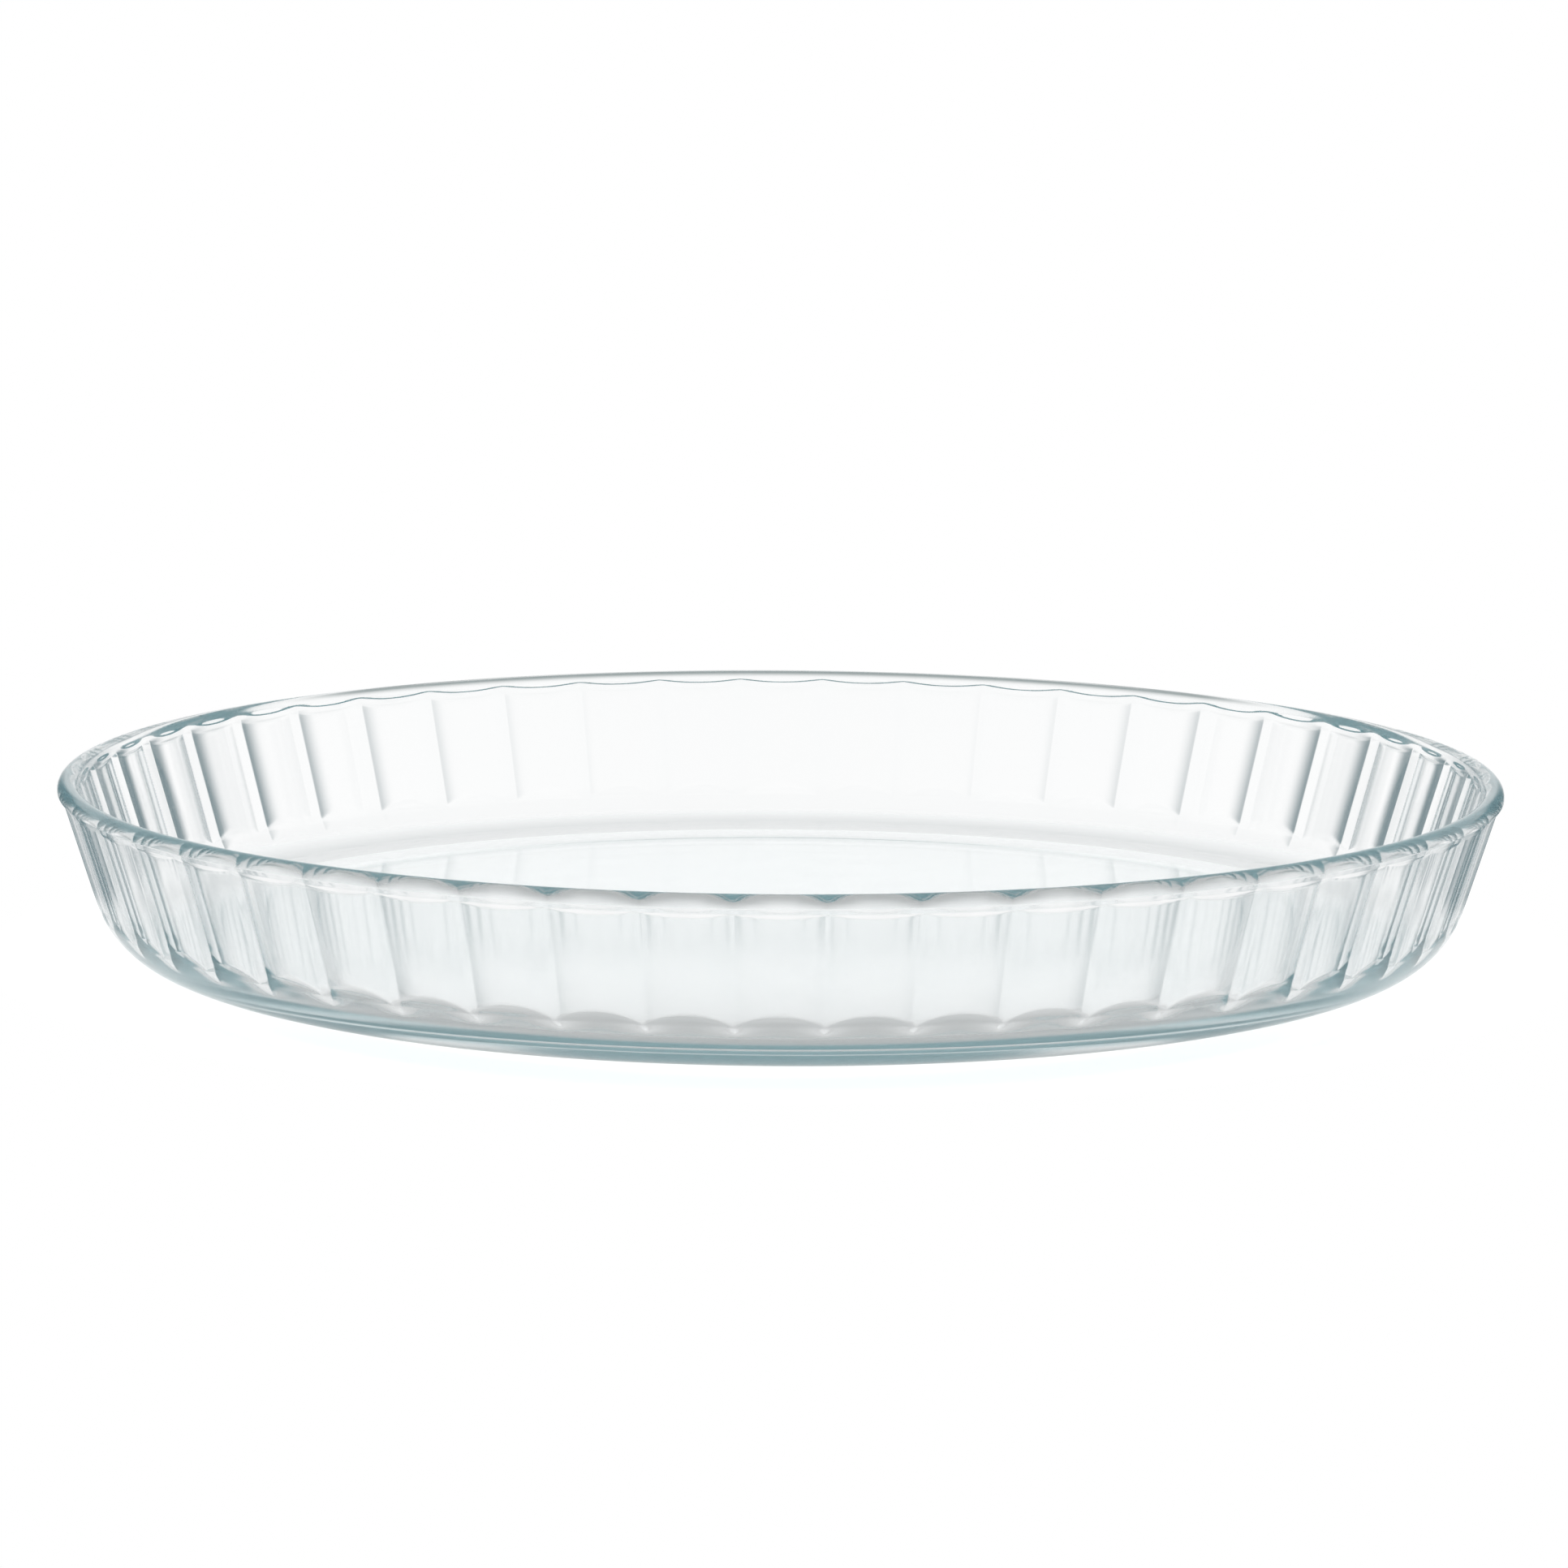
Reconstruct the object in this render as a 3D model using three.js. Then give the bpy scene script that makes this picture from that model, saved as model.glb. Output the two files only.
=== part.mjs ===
// A round flan dish of clear pressed glass, made in one piece: a flat floor on a low foot ring,
// a rounded heel, a leaning wall with upright flutes all round, inside and out, and a half-round rim.
// Millimetres, +Z up. The origin is the centre of the plane that the dish rests on.
import * as THREE from "three";

// Whole dish
const RIM_RADIUS = 140;
const HEIGHT = 35;

// Glass thickness, measured square to the surface
const WALL = 3.6;
const FLOOR = 4.8;

// Wall and heel
const WALL_LEAN = THREE.MathUtils.degToRad(17.9);
const OUTER_HEEL_RADIUS = 16.7;
const INNER_HEEL_RADIUS = 9;

// Rim: a half round with a short upright skirt that stands a little proud of the wall
const RIM_OVERHANG = 0.6;
const RIM_SKIRT = 0.5;

// Foot ring under the floor
const FOOT_HEIGHT = 0.5;
const FOOT_WIDTH = 10;
const FOOT_SLOPE = 1.8;

// Flutes: hollow scoops in the outer wall, with a crisp ridge between neighbours. They start a
// little way down the heel and end in a smooth neck under the rim.
const FLUTE_COUNT = 50;
const FLUTE_DEPTH = 0.5;
const FLUTE_HEEL_DROP = 2.1;
const FLUTE_RUNOUT = 1;
const FLUTE_MARGIN = 0.2;
const NECK_BAND = 1.1;

// Inner flutes: the inside stands in a little behind each ridge and back between two ridges. They
// start on a short ramp under the rim and run out on the heel.
const INNER_FLUTE_DEPTH = 0.6;
const INNER_FLUTE_RAMP = 1;
const INNER_FLUTE_RUNOUT = 1.5;

// Mesh steps
const STEPS_PER_FLUTE = 4;
const OUTER_HEEL_STEPS = 4;
const INNER_HEEL_STEPS = 3;
const RIM_OUTER_STEPS = 3;
const RIM_INNER_STEPS = 2;

// Clear soda-lime glass with the faint blue-green that shows in its edges
const GLASS_COLOUR = 0xdbe5e6;
const GLASS_OPACITY = 0.35;
const GLASS_ROUGHNESS = 0.03;

// Levels
const REST_LEVEL = 0;
const floorTop = FOOT_HEIGHT + FLOOR;

// The rim's half round spans the wall and its overhang, and the inner wall runs down from it.
const rimRound = (WALL + RIM_OVERHANG) / 2;
const rimCentre = new THREE.Vector2(RIM_RADIUS - rimRound, HEIGHT - rimRound);
const rimInnerAngle = Math.PI - WALL_LEAN;
const rimInnerEdge = pointOnArc(rimCentre, rimRound, rimInnerAngle);
const skirtBottom = HEIGHT - rimRound - RIM_SKIRT;
const levelWall = WALL / Math.cos(WALL_LEAN);

// Each heel is an arc that touches the level below it and the leaning wall beside it.
const outerHeel = heelCentre(REST_LEVEL, OUTER_HEEL_RADIUS, ridgeRadius);
const innerHeel = heelCentre(floorTop, INNER_HEEL_RADIUS, innerRadius);
const outerHeelTop = pointOnArc(outerHeel, OUTER_HEEL_RADIUS, -WALL_LEAN).y;
const innerHeelTop = pointOnArc(innerHeel, INNER_HEEL_RADIUS, -WALL_LEAN).y;
const fluteLowEnd = outerHeelTop - FLUTE_HEEL_DROP;
const fluteHighEnd = skirtBottom - NECK_BAND;
const innerFluteLowEnd = innerHeelTop - FLUTE_HEEL_DROP;
const innerFluteHighEnd = rimInnerEdge.y - INNER_FLUTE_RAMP;

function pointOnArc(centre, radius, angle) {
  return new THREE.Vector2(centre.x + radius * Math.cos(angle), centre.y + radius * Math.sin(angle));
}

function heelCentre(level, radius, wallRadius) {
  const height = level + radius;
  return new THREE.Vector2(wallRadius(height) - radius / Math.cos(WALL_LEAN), height);
}

function innerRadius(height) {
  return rimInnerEdge.x + (height - rimInnerEdge.y) * Math.tan(WALL_LEAN);
}

function ridgeRadius(height) {
  return innerRadius(height) + levelWall;
}

function outerHeelAngle(height) {
  return Math.asin((height - outerHeel.y) / OUTER_HEEL_RADIUS);
}

function innerHeelAngle(height) {
  return Math.asin((height - innerHeel.y) / INNER_HEEL_RADIUS);
}

// Smooth outside of the dish, as it stands on the ridges: heel arc below, leaning wall above.
function outsideRadius(height) {
  if (height > outerHeelTop) {
    return ridgeRadius(height);
  }
  return pointOnArc(outerHeel, OUTER_HEEL_RADIUS, outerHeelAngle(height)).x;
}

// Smooth inside of the dish, halfway between standing in and standing back.
function insideRadius(height) {
  if (height > innerHeelTop) {
    return innerRadius(height);
  }
  return pointOnArc(innerHeel, INNER_HEEL_RADIUS, innerHeelAngle(height)).x;
}

// A row is one level of the profile, as a function of how deep in its flute a point lies:
// 0 on a ridge, 1 halfway between two ridges.
function plainRow(radius, height) {
  return () => new THREE.Vector2(radius, height);
}

function fluteRow(ridgeHeight, climb) {
  return (share) => {
    const height = ridgeHeight + climb * share;
    return new THREE.Vector2(outsideRadius(height) - FLUTE_DEPTH * share, height);
  };
}

function innerFluteRow(ridgeHeight, climb) {
  return (share) => {
    const height = ridgeHeight + climb * share;
    return new THREE.Vector2(insideRadius(height) + INNER_FLUTE_DEPTH * (share - 0.5), height);
  };
}

function arcRows(centre, radius, fromAngle, toAngle, steps) {
  const rows = [];
  for (let step = 0; step <= steps; step += 1) {
    const angle = THREE.MathUtils.lerp(fromAngle, toAngle, step / steps);
    const point = pointOnArc(centre, radius, angle);
    rows.push(plainRow(point.x, point.y));
  }
  return rows;
}

function undersideRows() {
  const footOuter = outsideRadius(FOOT_HEIGHT) - FOOT_SLOPE;
  const footInner = footOuter - FOOT_WIDTH;
  return [
    plainRow(0, FOOT_HEIGHT),
    plainRow(footInner - FOOT_SLOPE, FOOT_HEIGHT),
    plainRow(footInner, REST_LEVEL),
    plainRow(footOuter, REST_LEVEL),
  ];
}

function outerHeelRows() {
  const from = outerHeelAngle(FOOT_HEIGHT);
  const to = outerHeelAngle(fluteLowEnd - FLUTE_MARGIN);
  return arcRows(outerHeel, OUTER_HEEL_RADIUS, from, to, OUTER_HEEL_STEPS);
}

function flutedWallRows() {
  const smoothAgain = fluteHighEnd + FLUTE_MARGIN;
  return [
    fluteRow(fluteLowEnd, FLUTE_RUNOUT),
    fluteRow(fluteHighEnd, -FLUTE_RUNOUT),
    plainRow(ridgeRadius(smoothAgain), smoothAgain),
    plainRow(ridgeRadius(skirtBottom), skirtBottom),
  ];
}

function rimRows() {
  const outerQuarter = arcRows(rimCentre, rimRound, 0, Math.PI / 2, RIM_OUTER_STEPS);
  const innerQuarter = arcRows(rimCentre, rimRound, Math.PI / 2, rimInnerAngle, RIM_INNER_STEPS);
  return [plainRow(RIM_RADIUS, skirtBottom), ...outerQuarter, ...innerQuarter.slice(1)];
}

function insideRows() {
  const from = innerHeelAngle(innerFluteLowEnd - INNER_FLUTE_RUNOUT);
  return [
    innerFluteRow(innerFluteHighEnd, 0),
    innerFluteRow(innerFluteLowEnd, FLUTE_RUNOUT),
    ...arcRows(innerHeel, INNER_HEEL_RADIUS, from, -Math.PI / 2, INNER_HEEL_STEPS),
    plainRow(0, floorTop),
  ];
}

// Steps round the dish start halfway across a flute, so a flute faces -Y.
function fluteShare(step) {
  const flutes = step / STEPS_PER_FLUTE;
  const offMiddle = flutes - Math.round(flutes);
  return 1 - (2 * offMiddle) ** 2;
}

// The profile runs from the axis under the floor, out and up the outside, over the rim, and
// down the inside to the axis on top of the floor. It is turned about the axis, and each step
// round the dish then takes the rows at its own place in a flute.
function dishGeometry() {
  const rows = [...undersideRows(), ...outerHeelRows(), ...flutedWallRows(), ...rimRows(), ...insideRows()];
  const steps = FLUTE_COUNT * STEPS_PER_FLUTE;
  const ridgeProfile = rows.map((row) => row(0));
  const geometry = new THREE.LatheGeometry(ridgeProfile, steps);
  const position = geometry.attributes.position;
  for (let step = 0; step <= steps; step += 1) {
    const angle = (2 * Math.PI * step) / steps;
    const share = fluteShare(step);
    rows.forEach((row, index) => {
      const point = row(share);
      const vertex = step * rows.length + index;
      position.setXYZ(vertex, point.x * Math.sin(angle), point.y, point.x * Math.cos(angle));
    });
  }
  geometry.rotateX(Math.PI / 2);
  geometry.computeVertexNormals();
  return geometry;
}

const glass = new THREE.MeshStandardMaterial({
  color: GLASS_COLOUR,
  roughness: GLASS_ROUGHNESS,
  metalness: 0,
  transparent: true,
  opacity: GLASS_OPACITY,
});

const dish = new THREE.Mesh(dishGeometry(), glass);
dish.name = "glass_dish";

const flanDish = new THREE.Group();
flanDish.add(dish);

export default flanDish;
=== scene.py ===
"""A clear pressed-glass flan dish with a fluted wall, on a white table in soft studio light."""

import math

import bmesh
import bpy
from bpy.props import FloatProperty, FloatVectorProperty, IntProperty, PointerProperty
from mathutils import Matrix, Vector


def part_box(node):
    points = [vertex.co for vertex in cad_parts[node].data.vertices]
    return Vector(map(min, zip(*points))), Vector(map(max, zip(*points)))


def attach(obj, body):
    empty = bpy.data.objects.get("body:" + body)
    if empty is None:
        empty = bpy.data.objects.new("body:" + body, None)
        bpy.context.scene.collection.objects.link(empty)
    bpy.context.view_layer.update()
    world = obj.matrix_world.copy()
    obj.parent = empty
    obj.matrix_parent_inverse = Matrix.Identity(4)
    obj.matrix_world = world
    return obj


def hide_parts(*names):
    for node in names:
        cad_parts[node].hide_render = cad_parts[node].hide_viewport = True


bl_info = {
    "name": "Pressed glass flan dish",
    "version": (1, 0, 0),
    "blender": (4, 5, 0),
    "location": "3D View > Sidebar > Flan dish",
    "description": "Presses a fluted clear-glass flan dish and sets it on a white studio table",
    "category": "Object",
}

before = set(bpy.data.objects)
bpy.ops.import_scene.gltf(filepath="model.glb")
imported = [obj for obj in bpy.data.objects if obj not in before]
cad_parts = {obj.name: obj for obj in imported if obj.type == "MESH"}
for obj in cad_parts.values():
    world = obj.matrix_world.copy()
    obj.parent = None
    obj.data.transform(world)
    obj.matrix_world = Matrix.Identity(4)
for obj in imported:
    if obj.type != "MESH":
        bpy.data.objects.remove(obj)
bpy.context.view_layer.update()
DISH_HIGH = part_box("glass_dish")[1]

MM = 0.001

# Mesh steps of one flute's slice of the dish
HALF_FLUTE_PLACES = (0.0, 0.2, 0.4, 0.6, 0.78, 0.9, 0.955, 0.98, 1.0)
WALL_PLACES = (0.03, 0.06, 0.1, 0.35, 0.65, 0.9, 0.97)
INSIDE_PLACES = (0.05, 0.3, 0.6, 0.85, 0.9, 0.94, 0.97, 1.0)
RAMP_STEPS = 4
RUNOUT_STEPS = 6
CORNER_STEPS = 4
OUTER_HEEL_STEPS = 14
INNER_HEEL_STEPS = 12
RIM_STEPS = 18
FLOOR_PLACES = (0.95, 0.6, 0.2)
WELD = 0.001 * MM
TABLE_STEPS = 96
TABLE_CLEARANCE = 0.05 * MM
GAP_FADE = math.radians(4)

# Light is followed this far, so that what runs round inside the rim and the heel keeps its colour
MAX_BOUNCES = 80
GLOSSY_BOUNCES = 80
TRANSMISSION_BOUNCES = 40

# Grain of the slow ripples in the glass
RIPPLE_DETAIL = 1.0
RIPPLE_ROUGHNESS = 0.4

# Places of the two colours and the result on a Mix node that is set to colour
MIX_COLOURS = (6, 7)
MIX_RESULT = 2

# Photograph's frame, in pixels
FRAME_SIDE = 1932
FOCAL_PIXELS = 11497.75
DISH_PIXEL = (961.55, 1047.5)
SENSOR_WIDTH = 36


def srgb(code):
    """Linear red, green and blue of an sRGB hex colour."""
    shares = [int(code[start:start + 2], 16) / 255 for start in (1, 3, 5)]
    return tuple(s / 12.92 if s <= 0.04045 else ((s + 0.055) / 1.055) ** 2.4 for s in shares)


def add_node(tree, kind, settings=None, values=None, links=None):
    """One node with its settings, the values of its inputs and what is linked into them."""
    node = tree.nodes.new(kind)
    for name, value in (settings or {}).items():
        setattr(node, name, value)
    for name, value in (values or {}).items():
        node.inputs[name].default_value = value
    for name, source in (links or {}).items():
        tree.links.new(source, node.inputs[name])
    return node


def length(name, description, default):
    """A length in metres that the sidebar shows with its unit."""
    return FloatProperty(
        name=name, description=description, default=default, min=0.0, precision=5, unit="LENGTH"
    )


def place_along(name, description, default):
    """A place along an axis, on either side of the dish's own."""
    return FloatProperty(
        name=name, description=description, default=default, precision=5, unit="LENGTH"
    )


def angle(name, description, degrees):
    """An angle that the sidebar shows in degrees."""
    return FloatProperty(
        name=name, description=description, default=math.radians(degrees), subtype="ANGLE"
    )


def colour(name, description, code):
    """A colour, given as an sRGB hex code."""
    return FloatVectorProperty(
        name=name, description=description, default=srgb(code), subtype="COLOR", min=0.0, max=1.0
    )


def share_of(name, description, default):
    """A share from 0 to 1 that the sidebar shows as a slider."""
    return FloatProperty(
        name=name, description=description, default=default, min=0.0, max=1.0, subtype="FACTOR"
    )


def amount(name, description, default):
    """A plain number."""
    return FloatProperty(name=name, description=description, default=default)


class FlanDishSizes(bpy.types.PropertyGroup):
    """Sizes of the glass"""

    rim_radius: length("Rim radius", "From the axis to the outside of the rim", DISH_HIGH.x)
    height: length("Height", "From the table to the top of the rim", DISH_HIGH.z)
    wall: length("Wall", "Glass thickness of the wall, square to it", 3.6 * MM)
    floor: length("Floor", "Glass thickness of the floor", 4.8 * MM)
    lean: angle("Wall lean", "How far the wall leans out from upright", 17.9)
    outer_heel: length("Outer heel", "Radius of the outside curve from floor to wall", 16.7 * MM)
    inner_heel: length("Inner heel", "Radius of the inside curve from floor to wall", 9 * MM)
    overhang: length("Rim overhang", "How far the rim is wider than the wall", 0.6 * MM)
    skirt: length("Rim skirt", "Upright edge under the rim's half round", 0.5 * MM)
    foot_height: length("Foot height", "How far the foot ring lifts the floor", 0.5 * MM)
    foot_width: length("Foot width", "Width of the flat ring that the dish rests on", 10 * MM)
    foot_slope: length("Foot slope", "Width of the slope on each side of the foot ring", 1.8 * MM)
    flutes: IntProperty(name="Flutes", description="Flutes round the wall", default=50, min=3)
    flute_depth: length("Flute depth", "How deep a flute is scooped into the wall", 0.5 * MM)
    inner_depth: length("Inner flute depth", "How deep the flutes show on the inside of the wall", 0.6 * MM)
    inner_ramp: length("Inner ramp", "Height over which the inner flutes start under the rim", 1.0 * MM)
    inner_runout: length("Inner run-out", "Height over which the inner flutes end on the heel", 1.5 * MM)
    heel_drop: length("Flute heel drop", "How far the flutes run down onto the heel", 2.1 * MM)
    runout: length("Flute run-out", "How far a flute's ends bow in at its middle", 1.0 * MM)
    flute_ease: length("Flute ease", "Height over which a flute's bottom eases in at its middle", 1.5 * MM)
    margin: length("Flute margin", "Soft edge at the ends of a ridge", 0.2 * MM)
    neck: length("Neck", "Smooth band between the flutes and the rim", 1.1 * MM)
    ridge_round: length("Ridge rounding", "Half width of the fire-polished ridge", 0.35 * MM)
    skirt_round: length("Skirt rounding", "Radius of the rim skirt's two corners", 0.25 * MM)
    foot_round: length("Foot rounding", "Radius of the foot ring's corners", 0.8 * MM)


class FlanDishGlass(bpy.types.PropertyGroup):
    """Look of the glass"""

    tint: colour("Tint", "Colour that light takes on its way through thick glass", "#CBE6EA")
    tint_density: amount("Tint density", "How soon the tint shows, per metre of glass", 9.0)
    ior: amount("Index of refraction", "Of the glass", 1.5)
    roughness: share_of("Roughness", "Of the fire-polished skin", 0.08)
    ripple_size: length("Ripple size", "Width of the slow ripples in the pressed skin", 22 * MM)
    ripple_height: length("Ripple height", "Height of the slow ripples", 0.02 * MM)


class FlanDishStage(bpy.types.PropertyGroup):
    """Table, surround and camera"""

    table: colour("Table", "Colour of the lit white table under the dish", "#FFFFFF")
    table_radius: length("Table radius", "Where the table has faded into the white surround", 155 * MM)
    table_core: length("Table core", "Where the table starts to fade", 142 * MM)
    table_paper: share_of("Table skin", "How much of the studio light the table's skin gives back", 0.25)
    table_glow: amount("Table glow", "Light through the table, as the camera sees it", 0.8)
    # Painted shade: the table's glow as the glass sees it, turned down most in front and less behind, in
    # place of the dish's shadow
    painted_shade_front: amount("Front glow", "Light through the table in front, as the glass shows it", 0.4)
    painted_shade_back: amount("Back glow", "Light through the table behind, as the glass shows it", 0.68)
    painted_shade_start: place_along("Shade start", "Where the shade in front starts to lift", -110 * MM)
    painted_shade_end: place_along("Shade end", "Where the shade in front has lifted", -40 * MM)
    table_gloss: share_of("Table roughness", "Of the acrylic's polished skin", 0.12)
    table_ior: amount("Table index", "Index of refraction of the acrylic", 1.5)
    panel: colour("Panel", "Light of the white panels round the table", "#FFFFFF")
    gap: colour("Gap", "Light from the shaded gaps between the panels", "#70848A")
    ceiling: colour("Ceiling", "Light of the wide soft ceiling", "#B4BBBC")
    ground: colour("Ground", "Light of the ground where it is looked at steeply", "#9FA7A7")
    gap_top: angle("Gap top", "Height that the gaps between the panels reach, as an angle", 12.0)
    wall_top: angle("Wall top", "Where the white wall starts to fade into the ceiling", 8.0)
    ceiling_from: angle("Ceiling from", "Where the ceiling has its own colour", 40.0)
    wall_foot: angle("Wall foot", "Where the white starts to fade into the ground", -20.0)
    ground_from: angle("Ground from", "Where the ground has its own colour", -50.0)
    panels: IntProperty(name="Panels", description="White panels round the table", default=8, min=3)
    panel_core: share_of("Panel core", "Share of a panel that is evenly white", 0.3)
    panel_edge: share_of("Panel edge", "Share of a panel where its light has faded", 0.72)
    distance: length("Camera distance", "From the camera to the middle of the dish", 1.81226)
    aim_height: length("Aim height", "Height on the dish's axis that the camera is set by", 20 * MM)
    elevation: angle("Camera elevation", "Angle of the camera above the table", 9.48)
    roll: angle("Camera roll", "Turn of the camera about its own axis", 0.35)


def arc(centre, radius, start, end, steps):
    """Points along an arc, both ends included."""
    turns = [start + (end - start) * step / steps for step in range(steps + 1)]
    return [centre + radius * Vector((math.cos(turn), math.sin(turn))) for turn in turns]


def soft_corner(before, corner, after, radius):
    """Points that round a corner of the profile off, from one tangent to the other."""
    come, leave = (corner - before).normalized(), (after - corner).normalized()
    reach = radius * math.tan(come.angle(leave) / 2)
    start, end = corner - come * reach, corner + leave * reach
    shares = [step / CORNER_STEPS for step in range(CORNER_STEPS + 1)]
    return [
        start * (1 - s) ** 2 + corner * (2 * s * (1 - s)) + end * s ** 2 for s in shares
    ]


def even_steps(count):
    """Shares of a length at even steps, without its start."""
    return [step / count for step in range(1, count + 1)]


def soft_share(place):
    """Share that eases from 0 to 1 at both ends."""
    return place * place * (3 - 2 * place)


class DishProfile:
    """Cross-section of the dish as a function of how deep in its flute a point lies."""

    def __init__(self, sizes):
        self.sizes = sizes
        self.lean = sizes.lean
        self.floor_top = sizes.foot_height + sizes.floor
        self.rim_round = (sizes.wall + sizes.overhang) / 2
        self.rim_centre = Vector((sizes.rim_radius - self.rim_round, sizes.height - self.rim_round))
        inward = Vector((-math.cos(self.lean), math.sin(self.lean)))
        self.rim_inner_edge = self.rim_centre + self.rim_round * inward
        self.skirt_bottom = self.rim_centre.y - sizes.skirt
        self.outer_heel = self.heel_centre(0.0, sizes.outer_heel, self.ridge_radius)
        self.inner_heel = self.heel_centre(self.floor_top, sizes.inner_heel, self.inner_radius)
        self.heel_top = self.outer_heel.y - sizes.outer_heel * math.sin(self.lean)
        self.inner_heel_top = self.inner_heel.y - sizes.inner_heel * math.sin(self.lean)
        self.low_end = self.heel_top - sizes.heel_drop
        self.high_end = self.skirt_bottom - sizes.neck

    def inner_radius(self, height):
        return self.rim_inner_edge.x + (height - self.rim_inner_edge.y) * math.tan(self.lean)

    def ridge_radius(self, height):
        return self.inner_radius(height) + self.sizes.wall / math.cos(self.lean)

    def heel_centre(self, level, radius, wall_radius):
        height = level + radius
        return Vector((wall_radius(height) - radius / math.cos(self.lean), height))

    def heel_angle(self, height):
        return math.asin((height - self.outer_heel.y) / self.sizes.outer_heel)

    def outside_radius(self, height):
        """Smooth outside as it stands on the ridges: heel arc below, leaning wall above."""
        if height > self.heel_top:
            return self.ridge_radius(height)
        return self.outer_heel.x + self.sizes.outer_heel * math.cos(self.heel_angle(height))

    def flute_row(self, height_at, scoop):
        """A row of the fluted wall, scooped by a share of the flute's full depth."""
        def row(share):
            height = height_at(share)
            return Vector((self.outside_radius(height) - self.sizes.flute_depth * scoop * share, height))
        return row

    def underside(self):
        sizes = self.sizes
        foot_outer = self.outside_radius(sizes.foot_height) - sizes.foot_slope
        foot_inner = foot_outer - sizes.foot_width
        hollow_edge = Vector((foot_inner - sizes.foot_slope, sizes.foot_height))
        corners = [
            Vector((0.0, sizes.foot_height)),
            hollow_edge,
            Vector((foot_inner, 0.0)),
            Vector((foot_outer, 0.0)),
            Vector((self.outside_radius(sizes.foot_height), sizes.foot_height)),
        ]
        points = [corners[0]]
        points += [Vector((hollow_edge.x * place, sizes.foot_height)) for place in reversed(FLOOR_PLACES)]
        for index in (1, 2, 3):
            points += soft_corner(*corners[index - 1:index + 2], sizes.foot_round)
        return points

    def heel(self):
        start = self.heel_angle(self.sizes.foot_height)
        end = self.heel_angle(self.low_end - self.sizes.margin)
        return arc(self.outer_heel, self.sizes.outer_heel, start, end, OUTER_HEEL_STEPS)

    def fluted_wall(self):
        """Rows from the heel, into the flutes, up them, and out again under the neck."""
        runout, margin = self.sizes.runout, self.sizes.margin
        start = self.low_end - margin

        def low(share):
            return self.low_end + (runout + self.sizes.flute_ease) * share

        def high(share):
            return self.high_end - runout * share

        rows = [
            self.flute_row(
                lambda share, p=place: start + (low(share) - start) * p, soft_share(place)
            )
            for place in even_steps(RUNOUT_STEPS)
        ]
        rows += [
            self.flute_row(lambda share, p=place: low(share) + (high(share) - low(share)) * p, 1.0)
            for place in WALL_PLACES
        ]
        rows.append(self.flute_row(high, 1.0))
        rows += [
            self.flute_row(
                lambda share, p=place: high(share) + (margin + runout * share) * p, 1 - soft_share(place)
            )
            for place in even_steps(RUNOUT_STEPS)
        ]
        return rows

    def rim(self):
        """Neck, skirt with its two soft corners, and the half round over to the inside."""
        neck_start = self.high_end + self.sizes.margin
        corners = [
            Vector((self.ridge_radius(neck_start), neck_start)),
            Vector((self.ridge_radius(self.skirt_bottom), self.skirt_bottom)),
            Vector((self.sizes.rim_radius, self.skirt_bottom)),
            Vector((self.sizes.rim_radius, self.rim_centre.y)),
        ]
        points = soft_corner(*corners[:3], self.sizes.skirt_round)
        points += soft_corner(*corners[1:], self.sizes.skirt_round)
        return points + arc(self.rim_centre, self.rim_round, 0.0, math.pi - self.lean, RIM_STEPS)

    def inside_radius(self, height):
        """Smooth inside, halfway between standing in and standing back: wall above, heel arc below."""
        if height > self.inner_heel_top:
            return self.inner_radius(height)
        turn = math.asin((height - self.inner_heel.y) / self.sizes.inner_heel)
        return self.inner_heel.x + self.sizes.inner_heel * math.cos(turn)

    def inside_row(self, height_at, scoop):
        """A row of the inside: it stands in behind a ridge and back between two ridges."""
        def row(share):
            height = height_at(share)
            step_back = self.sizes.inner_depth * scoop * (share - 0.5)
            return Vector((self.inside_radius(height) + step_back, height))
        return row

    def inside(self):
        """Rows down the inside: ramp under the rim, fluted wall, its run-out, the heel and the floor."""
        sizes = self.sizes
        top = self.rim_inner_edge.y
        ramp_end = top - sizes.inner_ramp
        low_end = self.inner_heel_top - sizes.heel_drop
        heel_start = math.asin((low_end - sizes.inner_runout - self.inner_heel.y) / sizes.inner_heel)

        def low(share):
            return low_end + sizes.runout * share

        rows = [
            self.inside_row(lambda share, p=place: top - sizes.inner_ramp * p, place)
            for place in even_steps(RAMP_STEPS)
        ]
        rows += [
            self.inside_row(lambda share, p=place: ramp_end + (low(share) - ramp_end) * p, 1.0)
            for place in INSIDE_PLACES
        ]
        rows += [
            self.inside_row(
                lambda share, p=place: low(share) - (sizes.inner_runout + sizes.runout * share) * p,
                1 - soft_share(place),
            )
            for place in even_steps(RUNOUT_STEPS)
        ]
        heel = arc(self.inner_heel, sizes.inner_heel, heel_start, -math.pi / 2, INNER_HEEL_STEPS)[1:]
        floor = [Vector((self.inner_heel.x * place, self.floor_top)) for place in FLOOR_PLACES + (0.0,)]
        return rows + [lambda share, p=point: p for point in heel + floor]

    def rows(self):
        """All rows from the axis under the floor, over the rim, to the axis on top of the floor."""
        below = [lambda share, p=point: p for point in self.underside() + self.heel()]
        above = [lambda share, p=point: p for point in self.rim()]
        return below + self.fluted_wall() + above + self.inside()


def flute_share(place, rounding):
    """Depth in a flute, from 1 at its middle to nearly 0 on its softly rounded ridge."""
    from_ridge = 1 - abs(place)
    if from_ridge > rounding:
        return 1 - place * place
    return rounding + (1 - rounding) / rounding * from_ridge ** 2


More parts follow.
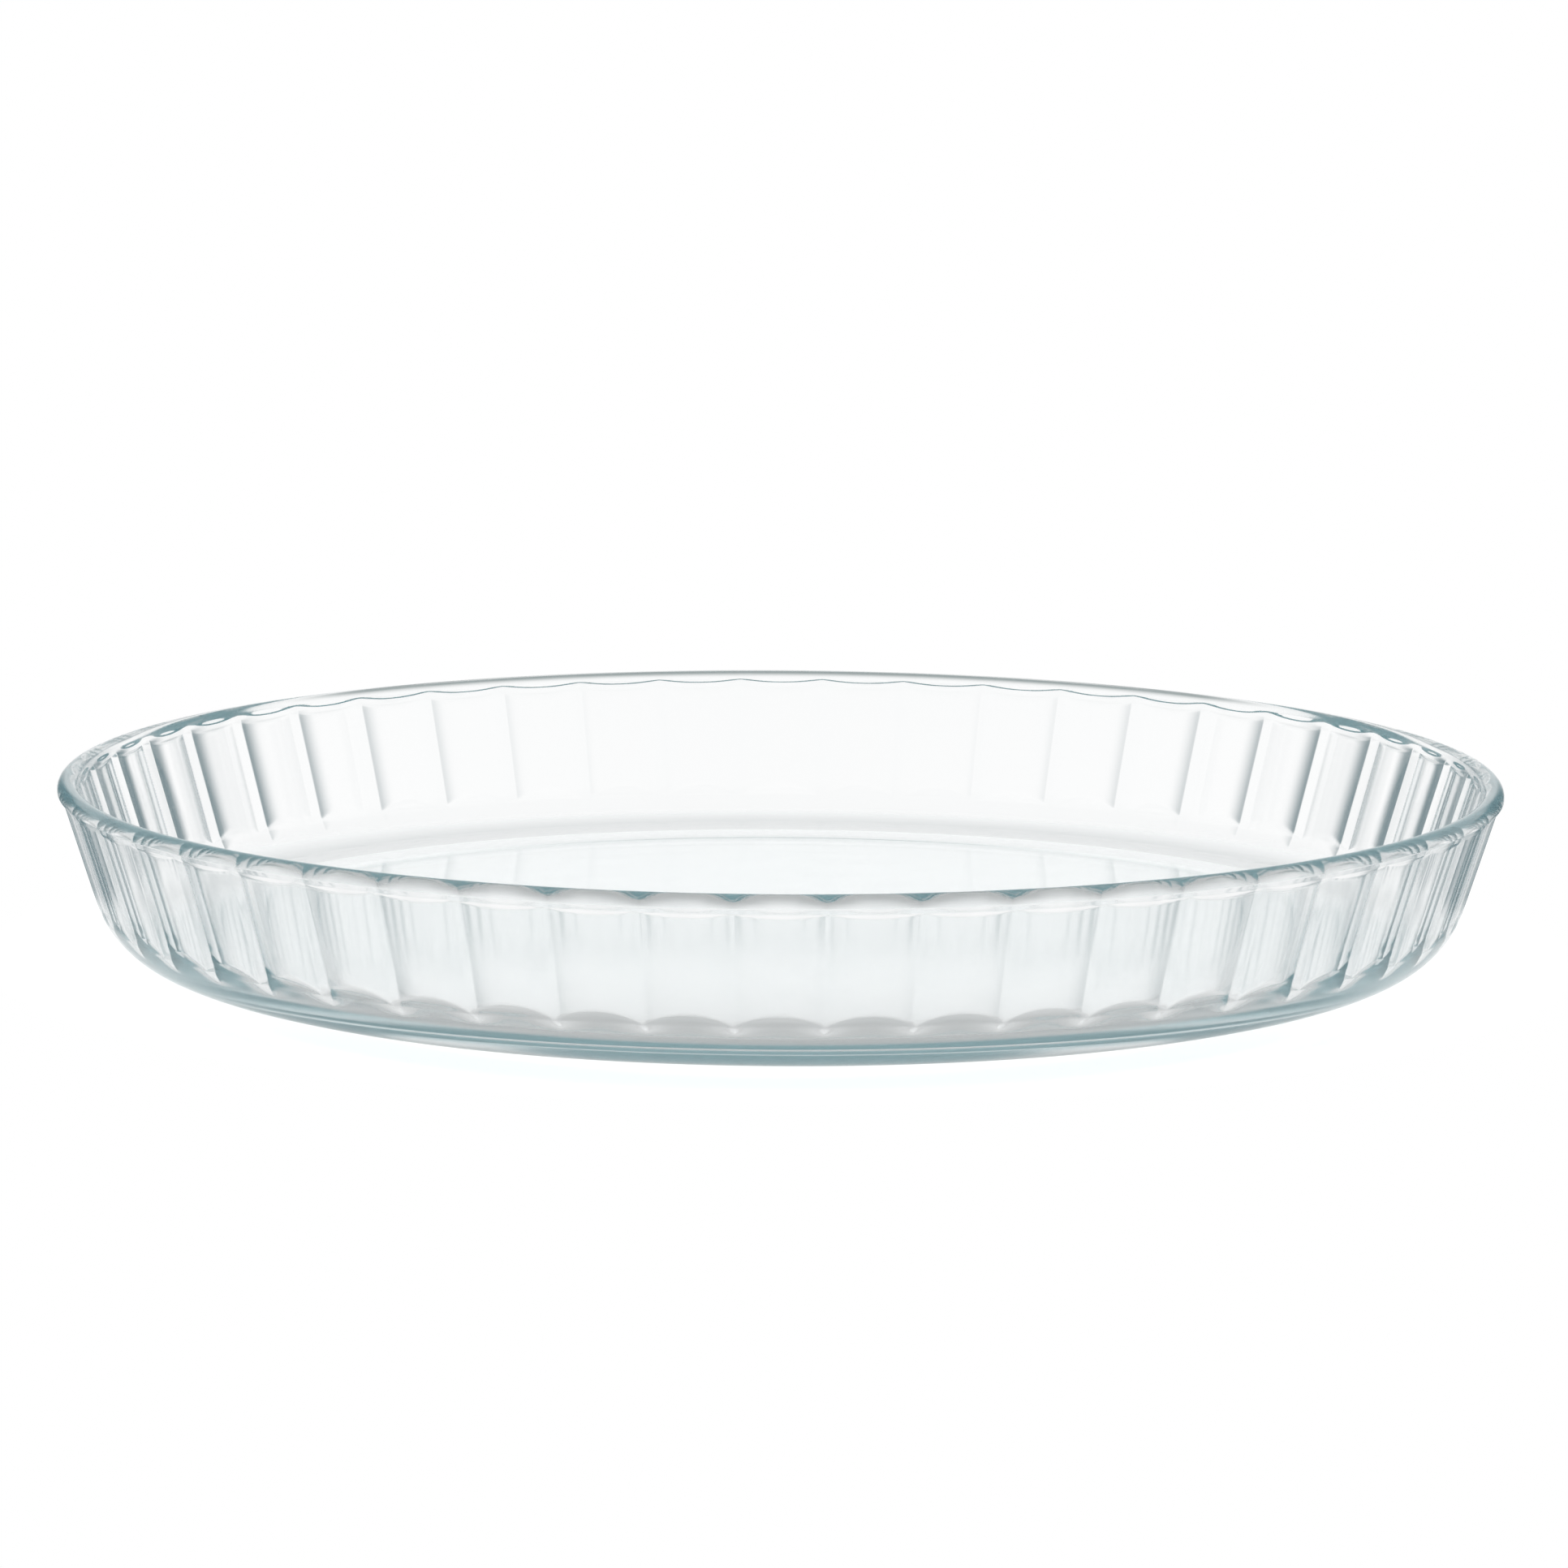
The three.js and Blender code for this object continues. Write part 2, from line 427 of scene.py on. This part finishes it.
def flute_slice(sizes):
    """Mesh of one flute's slice of the dish, from ridge to ridge, with a flute middle at -Y."""
    half_turn = math.pi / sizes.flutes
    rounding = sizes.ridge_round / (sizes.rim_radius * half_turn)
    places = [-place for place in reversed(HALF_FLUTE_PLACES[1:])] + list(HALF_FLUTE_PLACES)
    mesh = bmesh.new()
    lines = []
    for row in DishProfile(sizes).rows():
        points = [row(flute_share(place, rounding)) for place in places]
        if points[0].x == 0:
            lines.append([mesh.verts.new((0.0, 0.0, points[0].y))] * len(places))
            continue
        turns = [place * half_turn for place in places]
        lines.append([
            mesh.verts.new((p.x * math.sin(turn), -p.x * math.cos(turn), p.y))
            for p, turn in zip(points, turns)
        ])
    for low, high in zip(lines, lines[1:]):
        for left in range(len(places) - 1):
            corners = [low[left], low[left + 1], high[left + 1], high[left]]
            mesh.faces.new(list(dict.fromkeys(corners)))
    made = bpy.data.meshes.new("flute_slice")
    mesh.to_mesh(made)
    mesh.free()
    return made


def flute_ring_tree():
    """Geometry Nodes that repeat one flute's slice round the axis and weld the slices to one skin."""
    tree = bpy.data.node_groups.new("flute_ring", "GeometryNodeTree")
    sockets = tree.interface
    sockets.new_socket("Slice", in_out="INPUT", socket_type="NodeSocketGeometry")
    sockets.new_socket("Flutes", in_out="INPUT", socket_type="NodeSocketInt")
    sockets.new_socket("Weld", in_out="INPUT", socket_type="NodeSocketFloat")
    sockets.new_socket("Glass", in_out="INPUT", socket_type="NodeSocketMaterial")
    sockets.new_socket("Dish", in_out="OUTPUT", socket_type="NodeSocketGeometry")
    given = add_node(tree, "NodeGroupInput").outputs
    points = add_node(tree, "GeometryNodePoints", links={"Count": given["Flutes"]})
    index = add_node(tree, "GeometryNodeInputIndex")
    step = add_node(tree, "ShaderNodeMath", {"operation": "DIVIDE"}, {0: math.tau}, {1: given["Flutes"]})
    turn = add_node(
        tree, "ShaderNodeMath", {"operation": "MULTIPLY"}, links={0: index.outputs[0], 1: step.outputs[0]}
    )
    about_axis = add_node(tree, "ShaderNodeCombineXYZ", links={"Z": turn.outputs[0]})
    rotation = add_node(tree, "FunctionNodeEulerToRotation", links={"Euler": about_axis.outputs[0]})
    ring = add_node(
        tree,
        "GeometryNodeInstanceOnPoints",
        links={"Points": points.outputs[0], "Instance": given["Slice"], "Rotation": rotation.outputs[0]},
    )
    real = add_node(tree, "GeometryNodeRealizeInstances", links={"Geometry": ring.outputs[0]})
    welded = add_node(
        tree,
        "GeometryNodeMergeByDistance",
        links={"Geometry": real.outputs[0], "Distance": given["Weld"]},
    )
    smooth = add_node(tree, "GeometryNodeSetShadeSmooth", links={"Geometry": welded.outputs[0]})
    glazed = add_node(
        tree,
        "GeometryNodeSetMaterial",
        links={"Geometry": smooth.outputs[0], "Material": given["Glass"]},
    )
    add_node(tree, "NodeGroupOutput", links={"Dish": glazed.outputs[0]})
    return tree


def pressed_soda_lime_glass(look):
    """Clear soda-lime glass, pressed in a mould and fire-polished: it bends what lies behind it
    sharply, shows a blue-green where light runs a long way inside it, and its skin has the slow
    ripples that the cooling mould leaves."""
    material = bpy.data.materials.new("pressed_soda_lime_glass")
    material.use_nodes = True
    tree = material.node_tree
    tree.nodes.clear()
    place = add_node(tree, "ShaderNodeTexCoord")
    ripples = add_node(
        tree,
        "ShaderNodeTexNoise",
        values={
            "Scale": 1 / look.ripple_size,
            "Detail": RIPPLE_DETAIL,
            "Roughness": RIPPLE_ROUGHNESS,
        },
        links={"Vector": place.outputs["Object"]},
    )
    skin = add_node(
        tree,
        "ShaderNodeBump",
        values={"Strength": 1.0, "Distance": look.ripple_height},
        links={"Height": ripples.outputs[0]},
    )
    glass = add_node(
        tree,
        "ShaderNodeBsdfPrincipled",
        values={
            "Base Color": (1.0, 1.0, 1.0, 1.0),
            "Roughness": look.roughness,
            "IOR": look.ior,
            "Transmission Weight": 1.0,
        },
        links={"Normal": skin.outputs[0]},
    )
    depth = add_node(
        tree,
        "ShaderNodeVolumeAbsorption",
        values={"Color": (*look.tint, 1.0), "Density": look.tint_density},
    )
    add_node(
        tree,
        "ShaderNodeOutputMaterial",
        links={"Surface": glass.outputs[0], "Volume": depth.outputs[0]},
    )
    return material


def plain_mesh(piece, modifier):
    """Turns the result of a piece's node tree into its own plain mesh."""
    graph = bpy.context.evaluated_depsgraph_get()
    made = bpy.data.meshes.new_from_object(piece.evaluated_get(graph))
    sliced = piece.data
    piece.modifiers.remove(modifier)
    piece.data = made
    bpy.data.meshes.remove(sliced)


def require_closed_outward(piece):
    """Stops the build if the glass has an open edge or faces that point inwards."""
    skin = bmesh.new()
    skin.from_mesh(piece.data)
    open_edges = sum(not edge.is_manifold for edge in skin.edges)
    volume = skin.calc_volume(signed=True)
    skin.free()
    if open_edges or volume <= 0:
        raise RuntimeError(f"{piece.name}: {open_edges} open edges, volume {volume}")


class FLAN_DISH_OT_press_dish(bpy.types.Operator):
    """Press the dish: one flute's slice repeated round the axis, in clear glass"""

    bl_idname = "flan_dish.press_dish"
    bl_label = "Press dish"

    def execute(self, context):
        sizes = context.scene.flan_dish_sizes
        piece = bpy.data.objects.new("pressed_dish", flute_slice(sizes))
        context.scene.collection.objects.link(piece)
        modifier = piece.modifiers.new("flute_ring", "NODES")
        modifier.node_group = flute_ring_tree()
        given = {
            "Flutes": sizes.flutes,
            "Weld": WELD,
            "Glass": pressed_soda_lime_glass(context.scene.flan_dish_glass),
        }
        for socket in modifier.node_group.interface.items_tree:
            if socket.in_out == "INPUT" and socket.name in given:
                modifier[socket.identifier] = given[socket.name]
        plain_mesh(piece, modifier)
        piece.data.name = "pressed_dish"
        require_closed_outward(piece)
        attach(piece, "root")
        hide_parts("glass_dish")
        return {"FINISHED"}


def fade_between(tree, value, start, end):
    """Share that rises smoothly from 0 to 1 as a value goes from start to end."""
    return add_node(
        tree,
        "ShaderNodeMapRange",
        {"interpolation_type": "SMOOTHSTEP"},
        {"From Min": start, "From Max": end},
        {"Value": value},
    ).outputs[0]


def acrylic_with_painted_shade(stage):
    """Opal acrylic table top with a polished skin, that glows as if lit from below. The camera sees it
    plain white.
    Through the glass its glow is turned down, most of all in front: a painted shade that stands in
    for the dish's shadow on the table. It fades out into the white surround."""
    material = bpy.data.materials.new("acrylic_with_painted_shade")
    material.use_nodes = True
    tree = material.node_tree
    tree.nodes.clear()
    skin = [stage.table_paper * share for share in stage.table]
    top = add_node(
        tree,
        "ShaderNodeBsdfPrincipled",
        values={"Base Color": (*skin, 1.0), "Roughness": stage.table_gloss, "IOR": stage.table_ior},
    )
    place = add_node(tree, "ShaderNodeTexCoord")
    parts = add_node(tree, "ShaderNodeSeparateXYZ", links={0: place.outputs["Object"]})
    # Painted shade: the glow that the glass sees rises along Y from front to back, in place of the dish's
    # shadow on the table
    shade = add_node(
        tree,
        "ShaderNodeMapRange",
        {"interpolation_type": "SMOOTHSTEP"},
        {
            "From Min": stage.painted_shade_start,
            "From Max": stage.painted_shade_end,
            "To Min": stage.painted_shade_front,
            "To Max": stage.painted_shade_back,
        },
        {"Value": parts.outputs["Y"]},
    )
    # Camera rays get the even white glow; all other rays get the painted shade
    ray = add_node(tree, "ShaderNodeLightPath")
    strength = add_node(
        tree,
        "ShaderNodeMapRange",
        values={"To Max": stage.table_glow},
        links={"Value": ray.outputs["Is Camera Ray"], "To Min": shade.outputs[0]},
    )
    glow = add_node(
        tree,
        "ShaderNodeEmission",
        values={"Color": (*stage.table, 1.0)},
        links={"Strength": strength.outputs[0]},
    )
    lit = add_node(tree, "ShaderNodeAddShader", links={0: top.outputs[0], 1: glow.outputs[0]})
    from_axis = add_node(
        tree, "ShaderNodeVectorMath", {"operation": "LENGTH"}, links={0: place.outputs["Object"]}
    )
    fade = fade_between(tree, from_axis.outputs["Value"], stage.table_core, stage.table_radius)
    clear = add_node(tree, "ShaderNodeBsdfTransparent")
    edge = add_node(
        tree,
        "ShaderNodeMixShader",
        links={0: fade, 1: lit.outputs[0], 2: clear.outputs[0]},
    )
    add_node(tree, "ShaderNodeOutputMaterial", links={"Surface": edge.outputs[0]})
    return material


def lay_table(stage):
    """A round table top under the dish."""
    top = bmesh.new()
    bmesh.ops.create_circle(top, cap_ends=True, segments=TABLE_STEPS, radius=stage.table_radius)
    bmesh.ops.translate(top, verts=top.verts, vec=(0.0, 0.0, -TABLE_CLEARANCE))
    mesh = bpy.data.meshes.new("table")
    top.to_mesh(mesh)
    top.free()
    mesh.materials.append(acrylic_with_painted_shade(stage))
    table = bpy.data.objects.new("table", mesh)
    bpy.context.scene.collection.objects.link(table)


def blend(tree, share, first, second):
    """Colour that goes from the first to the second by a share. Each is a colour or an output."""
    node = add_node(tree, "ShaderNodeMix", {"data_type": "RGBA"}, links={0: share})
    for index, given in zip(MIX_COLOURS, (first, second)):
        if isinstance(given, bpy.types.NodeSocket):
            tree.links.new(given, node.inputs[index])
        else:
            node.inputs[index].default_value = (*given, 1.0)
    return node.outputs[MIX_RESULT]


def light_surround(stage):
    """A round of white panels with shaded gaps between them, over a ground that is greyer when
    looked at steeply, under a wide soft ceiling. What the camera sees straight on is white."""
    world = bpy.data.worlds.new("studio")
    world.use_nodes = True
    tree = world.node_tree
    tree.nodes.clear()
    way = add_node(tree, "ShaderNodeTexCoord")
    parts = add_node(tree, "ShaderNodeSeparateXYZ", links={0: way.outputs["Generated"]})
    turn = add_node(
        tree,
        "ShaderNodeMath",
        {"operation": "ARCTAN2"},
        links={0: parts.outputs["X"], 1: parts.outputs["Y"]},
    )
    panels = add_node(
        tree,
        "ShaderNodeMath",
        {"operation": "MULTIPLY"},
        {1: stage.panels / math.tau},
        {0: turn.outputs[0]},
    )
    off_middle = add_node(
        tree, "ShaderNodeMath", {"operation": "WRAP"}, {1: -0.5, 2: 0.5}, {0: panels.outputs[0]}
    )
    off_size = add_node(tree, "ShaderNodeMath", {"operation": "ABSOLUTE"}, links={0: off_middle.outputs[0]})
    in_gap = fade_between(tree, off_size.outputs[0], stage.panel_core / 2, stage.panel_edge / 2)
    round_table = blend(tree, in_gap, stage.panel, stage.gap)
    rise = add_node(tree, "ShaderNodeMath", {"operation": "ARCSINE"}, links={0: parts.outputs["Z"]})
    level = rise.outputs[0]
    over_gaps = fade_between(tree, level, stage.gap_top, stage.gap_top + GAP_FADE)
    lit_wall = blend(tree, over_gaps, round_table, stage.panel)
    above = fade_between(tree, level, stage.wall_top, stage.ceiling_from)
    with_ceiling = blend(tree, above, lit_wall, stage.ceiling)
    below = fade_between(tree, level, stage.wall_foot, stage.ground_from)
    with_ground = blend(tree, below, with_ceiling, stage.ground)
    ray = add_node(tree, "ShaderNodeLightPath")
    seen = blend(tree, ray.outputs["Is Camera Ray"], with_ground, stage.panel)
    light = add_node(tree, "ShaderNodeBackground", links={"Color": seen})
    add_node(tree, "ShaderNodeOutputWorld", links={"Surface": light.outputs[0]})
    bpy.context.scene.world = world


def set_camera(stage):
    """Camera at the photograph's place: the aim point lands on its own pixel of the frame."""
    data = bpy.data.cameras.new("camera")
    data.sensor_width = SENSOR_WIDTH
    data.lens = FOCAL_PIXELS / FRAME_SIDE * SENSOR_WIDTH
    camera = bpy.data.objects.new("camera", data)
    bpy.context.scene.collection.objects.link(camera)
    aim = Vector((0.0, 0.0, stage.aim_height))
    back = Vector((0.0, -math.cos(stage.elevation), math.sin(stage.elevation)))
    right = Vector((1.0, 0.0, 0.0))
    level = Matrix((right, back.cross(right), back)).transposed()
    off_right = (DISH_PIXEL[0] - FRAME_SIDE / 2) / FOCAL_PIXELS
    off_down = (DISH_PIXEL[1] - FRAME_SIDE / 2) / FOCAL_PIXELS
    pan = Matrix.Rotation(math.atan(off_right), 3, "Y")
    tilt = Matrix.Rotation(math.atan(off_down), 3, "X")
    roll = Matrix.Rotation(stage.roll, 3, "Z")
    camera.matrix_world = Matrix.LocRotScale(
        aim + back * stage.distance, level @ roll @ tilt @ pan, None
    )
    bpy.context.scene.camera = camera


class FLAN_DISH_OT_set_stage(bpy.types.Operator):
    """Lay the table, light the surround and set the camera"""

    bl_idname = "flan_dish.set_stage"
    bl_label = "Set stage"

    def execute(self, context):
        stage = context.scene.flan_dish_stage
        lay_table(stage)
        light_surround(stage)
        set_camera(stage)
        context.scene.view_settings.view_transform = "Standard"
        context.scene.cycles.max_bounces = MAX_BOUNCES
        context.scene.cycles.glossy_bounces = GLOSSY_BOUNCES
        context.scene.cycles.transmission_bounces = TRANSMISSION_BOUNCES
        return {"FINISHED"}


class FLAN_DISH_PT_panel(bpy.types.Panel):
    """Sizes, glass, stage and the steps that make the dish"""

    bl_idname = "FLAN_DISH_PT_panel"
    bl_label = "Flan dish"
    bl_space_type = "VIEW_3D"
    bl_region_type = "UI"
    bl_category = "Flan dish"

    def draw(self, context):
        for group in (
            context.scene.flan_dish_sizes,
            context.scene.flan_dish_glass,
            context.scene.flan_dish_stage,
        ):
            column = self.layout.box().column()
            for name in group.__annotations__:
                column.prop(group, name)
        self.layout.operator(FLAN_DISH_OT_press_dish.bl_idname)
        self.layout.operator(FLAN_DISH_OT_set_stage.bl_idname)


CLASSES = (
    FlanDishSizes,
    FlanDishGlass,
    FlanDishStage,
    FLAN_DISH_OT_press_dish,
    FLAN_DISH_OT_set_stage,
    FLAN_DISH_PT_panel,
)


def register():
    for kind in CLASSES:
        bpy.utils.register_class(kind)
    bpy.types.Scene.flan_dish_sizes = PointerProperty(type=FlanDishSizes)
    bpy.types.Scene.flan_dish_glass = PointerProperty(type=FlanDishGlass)
    bpy.types.Scene.flan_dish_stage = PointerProperty(type=FlanDishStage)


def unregister():
    del bpy.types.Scene.flan_dish_stage
    del bpy.types.Scene.flan_dish_glass
    del bpy.types.Scene.flan_dish_sizes
    for kind in reversed(CLASSES):
        bpy.utils.unregister_class(kind)


def main():
    register()
    bpy.ops.flan_dish.press_dish()
    bpy.ops.flan_dish.set_stage()


if __name__ == "__main__":
    main()
